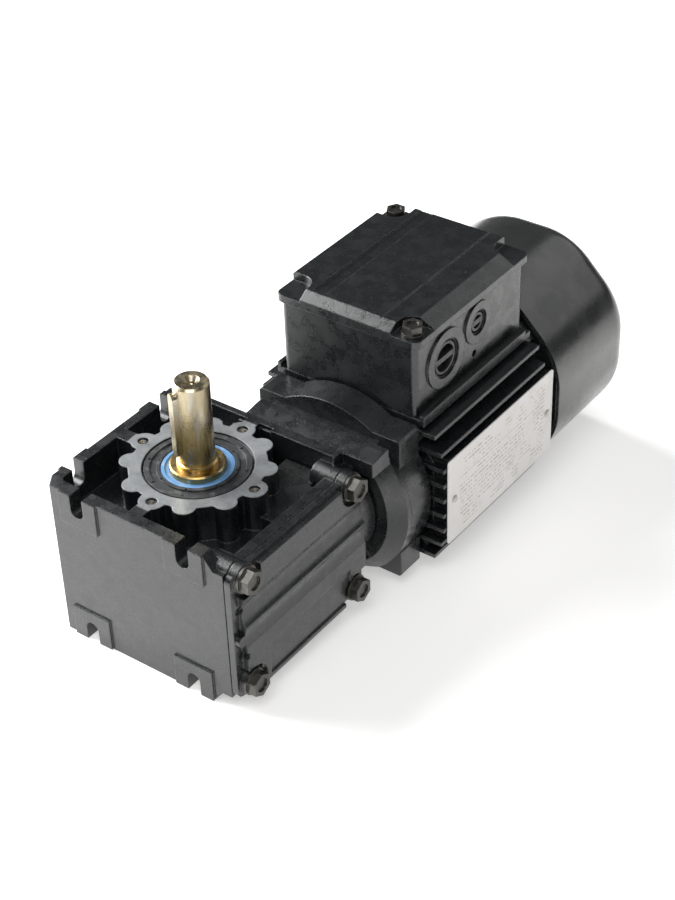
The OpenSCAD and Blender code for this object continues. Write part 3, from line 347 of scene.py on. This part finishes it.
def plate_metal():
    """Off-white printed plate: rows of short generic marks, a rule, fingermarks and rubbed print."""
    s = Surface("plate_metal", 0.34, 0.0, Coat_Weight=0.3, Coat_Roughness=0.15)
    edge = s.soften(0.2)
    s.blend(s.noise(16, 5, shift=1), (0.80, 0.775, 0.75), (0.90, 0.88, 0.86))
    y, z = s.parts()[1:]
    line_pitch, block_pitch = 2.3, 9.2
    left, right, bottom, top = 90, 165, -63, -22
    rule_height = -33.2
    # Each row of print is cut into dashes by a noise that jumps from row to row
    row = s.math("FLOOR", s.math("DIVIDE", z, line_pitch))
    within = s.math("FRACT", s.math("DIVIDE", z, line_pitch))
    line = s.math("MULTIPLY", s.span(within, 0.26, 0.34), s.span(within, 0.72, 0.64))
    dash = s.flat_noise(s.math("MULTIPLY", y, 0.85), s.math("MULTIPLY", row, 17.3), 1.0)
    dash = s.span(dash, 0.47, 0.51)
    # A coarser noise leaves blank stretches, as between the columns of a table
    block_row = s.math("FLOOR", s.math("DIVIDE", z, block_pitch))
    block = s.flat_noise(s.math("MULTIPLY", y, 0.085), s.math("MULTIPLY", block_row, 5.7), 0.0)
    block = s.span(block, 0.40, 0.46)
    inside = s.math("MULTIPLY", s.span(y, left, left + 2), s.span(y, right, right - 2))
    inside = s.math("MULTIPLY", inside,
                    s.math("MULTIPLY", s.span(z, bottom, bottom + 1.5), s.span(z, top, top - 1.5)))
    mark = s.math("MULTIPLY", s.math("MULTIPLY", line, dash), s.math("MULTIPLY", block, inside))
    worn = s.span(s.noise(8, 5, shift=5), 0.30, 0.62, 0.30, 0.72)
    s.over(s.math("MULTIPLY", mark, worn), (0.36, 0.27, 0.20))
    rule = s.math("MULTIPLY", s.span(s.math("ABSOLUTE", s.math("SUBTRACT", z, rule_height)), 0.32, 0.18), inside)
    s.over(s.math("MULTIPLY", rule, 0.45), (0.42, 0.36, 0.30))
    s.over(s.math("MULTIPLY", s.span(s.noise(11, 6, shift=8), 0.52, 0.74), 0.35), (0.56, 0.52, 0.46))
    s.over(s.math("MULTIPLY", edge, 0.3), (0.42, 0.41, 0.40))
    s.rough(s.noise(9, 4, shift=3), 0.26, 0.48)
    s.bump(s.noise(6, 3, shift=2), 0.05, 0.5)
    s.bump(mark, 0.03, 0.4)
    return s.done()


MATERIALS = {
    "cast_paint": cast_paint(),
    "sheet_paint": sheet_paint(),
    "shaft_steel": shaft_steel(),
    "plate_metal": plate_metal(),
    "gasket": soft("gasket", (0.030, 0.031, 0.030), (0.060, 0.060, 0.056), 0.6, 0.8, 0.6, 0.05),
    "black_zinc": metal("black_zinc", (0.055, 0.054, 0.050), (0.14, 0.135, 0.12), 0.26, 0.44, 0.9, 0.03,
                        (0.20, 0.17, 0.12), 0.9),
    "seal_rubber": soft("seal_rubber", (0.014, 0.016, 0.018), (0.034, 0.037, 0.040), 0.38, 0.6, 0.8, 0.04,
                        (0.20, 0.21, 0.21), 0.4),
    "blue_rubber": soft("blue_rubber", (0.085, 0.215, 0.430), (0.150, 0.320, 0.560), 0.36, 0.55, 0.9, 0.05,
                        (0.42, 0.50, 0.56), 0.45),
    "steel": metal("steel", (0.44, 0.42, 0.38), (0.64, 0.62, 0.57), 0.24, 0.42, 0.5, 0.02, (0.24, 0.17, 0.09)),
    "bearing_steel": metal("bearing_steel", (0.55, 0.55, 0.54), (0.70, 0.70, 0.69), 0.12, 0.24, 0.4, 0.008),
    "bronze": metal("bronze", (0.46, 0.27, 0.09), (0.66, 0.42, 0.17), 0.22, 0.40, 0.6, 0.03, (0.20, 0.12, 0.05)),
    "lamination": metal("lamination", (0.20, 0.20, 0.205), (0.34, 0.34, 0.34), 0.40, 0.60, 0.5, 0.06,
                        (0.14, 0.09, 0.05), 0.9, (0.05, 1, 0.05)),
    "copper": metal("copper", (0.40, 0.15, 0.055), (0.62, 0.27, 0.11), 0.28, 0.46, 0.8, 0.12, (0.16, 0.07, 0.03),
                    0.85, (1, 0.2, 1)),
    "fan_plastic": soft("fan_plastic", (0.016, 0.016, 0.017), (0.040, 0.040, 0.040), 0.42, 0.62),
    "block_plastic": soft("block_plastic", (0.060, 0.038, 0.024), (0.110, 0.075, 0.050), 0.34, 0.52),
    "brass": metal("brass", (0.55, 0.40, 0.14), (0.74, 0.58, 0.27), 0.22, 0.38, 0.5, 0.02, (0.25, 0.16, 0.06)),
    "plug_plastic": soft("plug_plastic", (0.012, 0.013, 0.014), (0.030, 0.032, 0.033), 0.26, 0.42, 1.0, 0.03,
                         (0.16, 0.16, 0.15), 0.2),
}
SLOTS = {entry["node"]: entry["material_slot"] for entry in frame["record"]["subparts"]}
for name, piece in frame["nodes"].items():
    piece.data.materials.clear()
    piece.data.materials.append(MATERIALS[SLOTS[name]])


# ---------- Pieces shaped here ----------

def add_piece(name, build, slot, body="casing", smooth=40):
    """Object from a bmesh filled in by build, in the row frame, carried by a body."""
    shape = bmesh.new()
    build(shape)
    mesh = bpy.data.meshes.new(name)
    bmesh.ops.recalc_face_normals(shape, faces=shape.faces[:])
    shape.to_mesh(mesh)
    shape.free()
    piece = bpy.data.objects.new(name, mesh)
    bpy.context.scene.collection.objects.link(piece)
    for face in mesh.polygons:
        face.use_smooth = True
    mesh.set_sharp_from_angle(angle=math.radians(smooth))
    mesh.materials.append(MATERIALS[slot])
    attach(piece, body)
    return piece


def bridge(shape, first, second, skip=lambda index: False):
    """Quads between two closed rings of vertices."""
    count = len(first)
    for index in range(count):
        if not skip(index):
            other = (index + 1) % count
            shape.faces.new((first[index], first[other], second[other], second[index]))


def octagon_reach(angle, flat, corner):
    """Distance from the middle to a rounded octagon's outline."""
    off = abs((angle + math.pi / 8) % (math.pi / 4) - math.pi / 8)
    side = (flat - corner) * math.tan(math.pi / 8)
    if math.tan(off) * flat <= side:
        return flat / math.cos(off)
    away = (flat - corner) / math.cos(math.pi / 8)
    turn = math.pi / 8 - off
    return away * math.cos(turn) + math.sqrt(max(0.0, corner ** 2 - (away * math.sin(turn)) ** 2))


def cowl_shell(shape):
    """Pressed cowl: open front, rounded corners and back edge, ring slots around a plain middle."""
    low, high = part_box("fan_cowl")
    flat = (high.x - low.x) / 2
    middle_x = (high.x + low.x) / 2
    start, end = low.y, high.y
    count = 240
    edge, corner, least_corner, wall = 0.012, 0.038, 0.004, 0.0015
    straight = (start, start + 0.004, (start + end) / 2, end - edge - 0.002)
    bend_steps = 8
    slot_radii, slot_width, half_spoke = (0.037, 0.030, 0.023, 0.016), 0.002, 0.0022
    back_radii = [0.0405, *(r - cut for r in slot_radii for cut in (0, slot_width)), 0.004]
    first_slot = len(straight) + bend_steps + 2

    def ring(reach, y):
        return [shape.verts.new((middle_x + reach(a) * math.cos(a), y, MOTOR_Z + reach(a) * math.sin(a)))
                for a in (2 * math.pi * i / count for i in range(count))]

    def skin(inset):
        """Rings of one skin, from the open front around the back edge to the middle of the back."""
        rim = edge - inset
        rings = []
        for y in straight:
            rings.append(ring(lambda a: octagon_reach(a, flat - inset, corner - inset), y))
        for step in range(bend_steps + 1):
            turn = math.pi / 2 * step / bend_steps
            back = end - edge + rim * math.sin(turn)
            pull = inset + rim * (1 - math.cos(turn))
            rings.append(ring(lambda a: octagon_reach(a, flat - pull, max(least_corner, corner - pull)), back))
        for radius in back_radii:
            rings.append(ring(lambda a: radius, end - inset))
        return rings

    def is_slot(step, index):
        """True where a slot opens between two of the back's rings."""
        row, between_rows = divmod(step - first_slot, 2)
        if between_rows or not 0 <= row < len(slot_radii):
            return False
        angle = 2 * math.pi * (index + 0.5) / count
        from_spoke = abs((angle + math.pi / 6) % (math.pi / 3) - math.pi / 6) * slot_radii[row]
        return from_spoke > half_spoke

    outer, inner = skin(0.0), skin(wall)
    steps = len(outer) - 1
    for step in range(steps):
        bridge(shape, outer[step], outer[step + 1], lambda i: is_slot(step, i))
        bridge(shape, inner[step], inner[step + 1], lambda i: is_slot(step, i))
        for index in range(count):
            if not is_slot(step, index):
                continue
            other = (index + 1) % count
            for ring_out, ring_in in ((outer[step], inner[step]), (outer[step + 1], inner[step + 1])):
                shape.faces.new((ring_out[index], ring_out[other], ring_in[other], ring_in[index]))
            for place, beside in ((index, index - 1), (other, index + 1)):
                if not is_slot(step, beside % count):
                    shape.faces.new((outer[step][place], outer[step + 1][place],
                                     inner[step + 1][place], inner[step][place]))
    bridge(shape, outer[0], inner[0])
    shape.faces.new(outer[-1])
    shape.faces.new(inner[-1])


cowl = add_piece("cowl_shell", cowl_shell, "sheet_paint", smooth=30)
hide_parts("fan_cowl")


def thread_sleeve(x, y, top, bottom, root, crest, pitch):
    """Returns a builder for the ridges inside a tapped hole about +Z."""
    def build(shape):
        count = 40
        rings = []
        turns = int((top - bottom) / pitch)
        for index in range(2 * turns + 1):
            radius = root if index % 2 == 0 else crest
            z = top - index * pitch / 2
            rings.append([shape.verts.new((x + radius * math.cos(a), y + radius * math.sin(a),
                                           z + pitch * (a / (2 * math.pi) - 0.5) * 0.9))
                          for a in (2 * math.pi * i / count for i in range(count))])
        for first, second in zip(rings, rings[1:]):
            for index in range(count - 1):
                shape.faces.new((first[index], first[index + 1], second[index + 1], second[index]))
    return build


for number, (hole_x, hole_y) in enumerate(FLANGE_HOLES, 1):
    add_piece("flange_thread_%d" % number,
              thread_sleeve(hole_x, hole_y, -1.2 * MM, -13.0 * MM, 2.49 * MM, 2.15 * MM, 1.0 * MM), "steel")
add_piece("shaft_end_thread", thread_sleeve(0, 0, 41.0 * MM, 32.5 * MM, 2.09 * MM, 1.75 * MM, 0.8 * MM),
          "shaft_steel", "output")

add_camera()
add_floor()
add_lights()
bpy.context.scene.view_settings.view_transform = "Standard"
